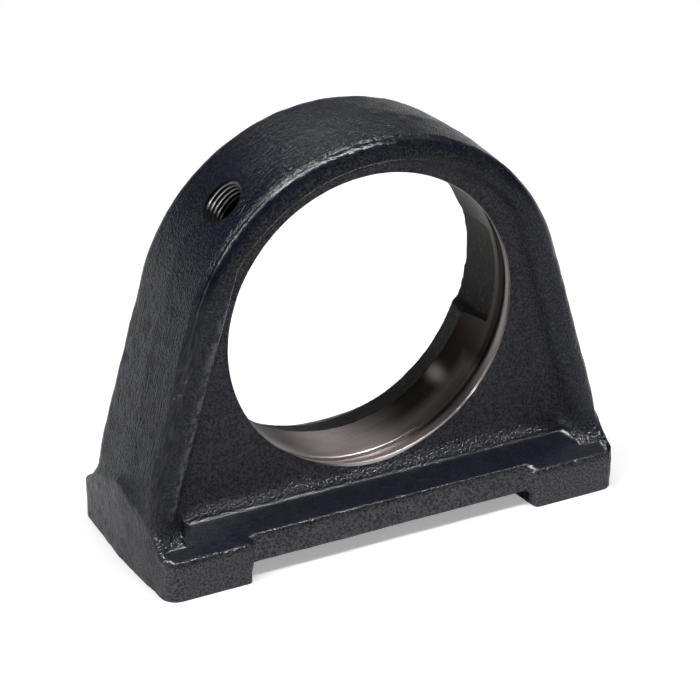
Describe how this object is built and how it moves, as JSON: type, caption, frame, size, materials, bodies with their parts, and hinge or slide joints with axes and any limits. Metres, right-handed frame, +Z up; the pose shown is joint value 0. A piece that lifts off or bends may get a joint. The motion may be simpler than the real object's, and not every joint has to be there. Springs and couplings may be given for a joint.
{
  "type": "pillow block housing",
  "caption": "Short-base cast iron pillow block housing with an open spherical insert seat, a threaded grease port and two tapped foot holes.",
  "frame": {"origin": "middle of the base footprint, on the plane that the feet rest on", "axes": "+X along the base, +Y from the recessed front to the flat back, along the bore axis, +Z up"},
  "size_m": [0.099, 0.04, 0.0812],
  "materials": {
    "casting": "dark painted sand casting with a machined seat"
  },
  "bodies": {
    "root": {"housing": "casting"}
  },
  "joints": []
}
